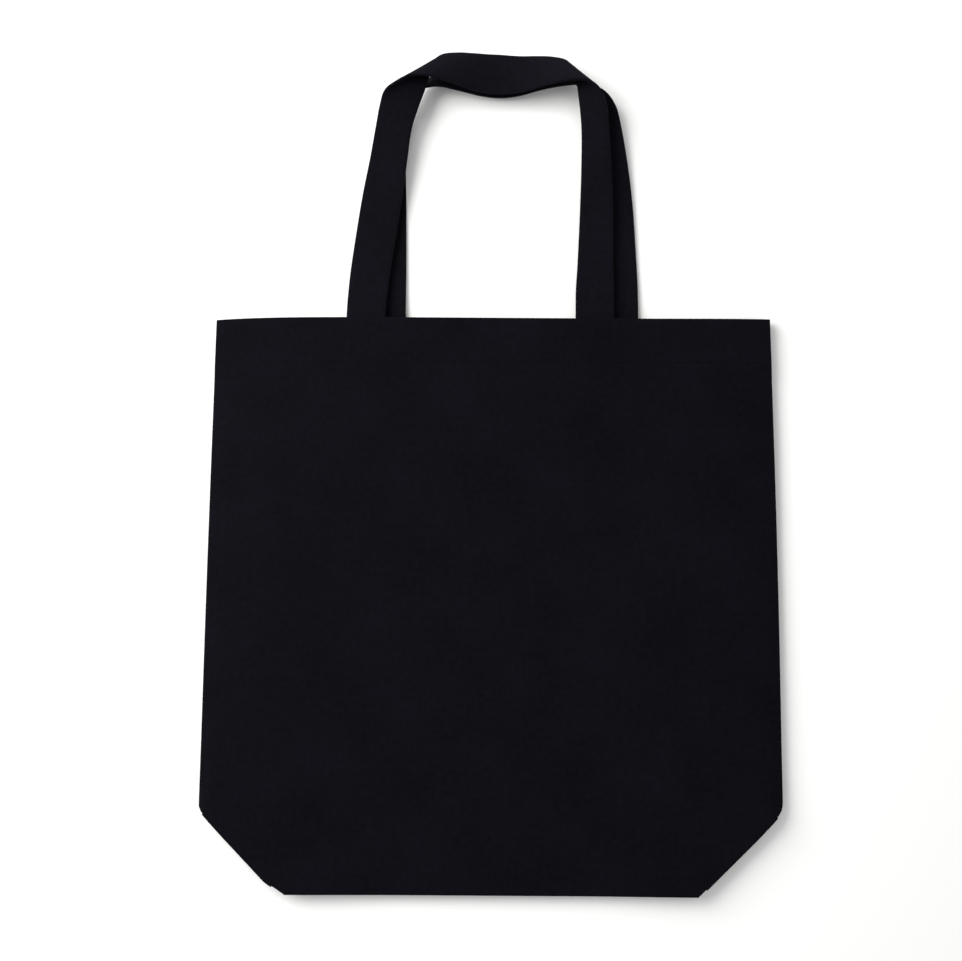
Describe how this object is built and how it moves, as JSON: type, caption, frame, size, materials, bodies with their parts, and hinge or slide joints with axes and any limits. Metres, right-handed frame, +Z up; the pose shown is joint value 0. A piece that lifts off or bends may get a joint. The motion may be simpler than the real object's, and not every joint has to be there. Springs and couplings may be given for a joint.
{
  "type": "canvas tote bag",
  "caption": "Soft canvas tote bag lying flat, with a boxed bottom folded up inside, a hemmed mouth and strap handles that swing over the rim; its front lifts as it opens to full depth.",
  "frame": {"origin": "middle of the bottom fold line, on the table under the back panel", "axes": "+X across the bag to the right seen from the front, +Y from the bottom fold to the mouth, +Z up from the table through the thickness"},
  "size_m": [0.3594, 0.5354, 0.0229],
  "materials": {
    "canvas": "matt plain-woven cotton canvas",
    "strap": "matt folded canvas strap",
    "thread": "fine twisted sewing thread"
  },
  "bodies": {
    "back": {"back_panel": "canvas", "back_hem": "canvas", "back_hem_stitching": "thread", "back_handle_left_end": "strap", "back_handle_right_end": "strap", "back_handle_stitching": "thread"},
    "front": {"front_panel": "canvas", "front_hem": "canvas", "front_hem_stitching": "thread", "front_handle_left_end": "strap", "front_handle_right_end": "strap", "front_handle_stitching": "thread"},
    "left_back_gusset": {"left_back_gusset": "canvas", "left_back_gusset_hem": "canvas", "left_side_seam": "thread"},
    "left_front_gusset": {"left_front_gusset": "canvas", "left_front_gusset_hem": "canvas"},
    "right_back_gusset": {"right_back_gusset": "canvas", "right_back_gusset_hem": "canvas", "right_side_seam": "thread"},
    "right_front_gusset": {"right_front_gusset": "canvas", "right_front_gusset_hem": "canvas"},
    "base_back": {"base_back_half": "canvas", "base_seam": "thread", "base_back_corner_seams": "thread"},
    "base_front": {"base_front_half": "canvas", "base_front_corner_seams": "thread"},
    "left_back_tuck": {"left_back_tuck": "canvas"},
    "left_front_tuck": {"left_front_tuck": "canvas"},
    "right_back_tuck": {"right_back_tuck": "canvas"},
    "right_front_tuck": {"right_front_tuck": "canvas"},
    "front_handle": {"front_handle": "strap"},
    "back_handle": {"back_handle": "strap"}
  },
  "joints": [
    {"name": "left_back_fold", "type": "hinge", "parent": "back", "child": "left_back_gusset", "pos_m": [-0.13, 0.181, 0.00095], "axis": [0, 1, 0], "range_deg": [0, 85.41]},
    {"name": "left_seam_fold", "type": "hinge", "parent": "left_back_gusset", "child": "left_front_gusset", "pos_m": [-0.17984, 0.181, 0.00495], "axis": [0, 1, 0], "range_deg": [-170.83, 0]},
    {"name": "left_front_fold", "type": "hinge", "parent": "left_front_gusset", "child": "front", "pos_m": [-0.13, 0.181, 0.00895], "axis": [0, 1, 0], "range_deg": [0, 85.42]},
    {"name": "right_back_fold", "type": "hinge", "parent": "back", "child": "right_back_gusset", "pos_m": [0.13, 0.181, 0.00095], "axis": [0, -1, 0], "range_deg": [0, 85.42]},
    {"name": "right_front_fold", "type": "hinge", "parent": "front", "child": "right_front_gusset", "pos_m": [0.13, 0.181, 0.00895], "axis": [0, 1, 0], "range_deg": [0, 85.42]},
    {"name": "base_back_fold", "type": "hinge", "parent": "back", "child": "base_back", "pos_m": [0, 0.0004, 0.0015], "axis": [1, 0, 0], "range_deg": [0, 90.01]},
    {"name": "base_front_fold", "type": "hinge", "parent": "front", "child": "base_front", "pos_m": [0, 0.0004, 0.0084], "axis": [-1, 0, 0], "range_deg": [0, 90.01]},
    {"name": "right_back_tuck_fold", "type": "hinge", "parent": "right_back_gusset", "child": "right_back_tuck", "pos_m": [0.13, 0, 0.00095], "axis": [0.7048, 0.7071, 0.0566], "range_deg": [0, 180.02]},
    {"name": "right_front_tuck_fold", "type": "hinge", "parent": "right_front_gusset", "child": "right_front_tuck", "pos_m": [0.13, 0, 0.00895], "axis": [-0.7048, -0.7071, 0.0566], "range_deg": [0, 180.02]},
    {"name": "left_back_tuck_fold", "type": "hinge", "parent": "left_back_gusset", "child": "left_back_tuck", "pos_m": [-0.13, 0, 0.00095], "axis": [0.7048, -0.7071, -0.0566], "range_deg": [0, 180.02]},
    {"name": "left_front_tuck_fold", "type": "hinge", "parent": "left_front_gusset", "child": "left_front_tuck", "pos_m": [-0.13, 0, 0.00895], "axis": [-0.7048, 0.7071, -0.0566], "range_deg": [0, 180.02]},
    {"name": "front_handle_swing", "type": "hinge", "parent": "front", "child": "front_handle", "pos_m": [0, 0.368, 0.0075], "axis": [1, 0, 0], "range_deg": [0, 145]},
    {"name": "back_handle_swing", "type": "hinge", "parent": "back", "child": "back_handle", "pos_m": [0, 0.368, 0.0024], "axis": [1, 0, 0], "range_deg": [-155, 0]}
  ],
  "couplings": [
    {"joint": "left_seam_fold", "follows": "left_back_fold", "ratio": -2},
    {"joint": "left_front_fold", "follows": "left_back_fold", "ratio": 1},
    {"joint": "right_back_fold", "follows": "left_back_fold", "ratio": 1},
    {"joint": "right_front_fold", "follows": "left_back_fold", "ratio": 1},
    {"joint": "base_back_fold", "follows": "left_back_fold", "ratio": 1.0537},
    {"joint": "base_front_fold", "follows": "left_back_fold", "ratio": 1.0537},
    {"joint": "right_back_tuck_fold", "follows": "left_back_fold", "ratio": 2.1074},
    {"joint": "right_front_tuck_fold", "follows": "left_back_fold", "ratio": 2.1074},
    {"joint": "left_back_tuck_fold", "follows": "left_back_fold", "ratio": 2.1074},
    {"joint": "left_front_tuck_fold", "follows": "left_back_fold", "ratio": 2.1074}
  ]
}
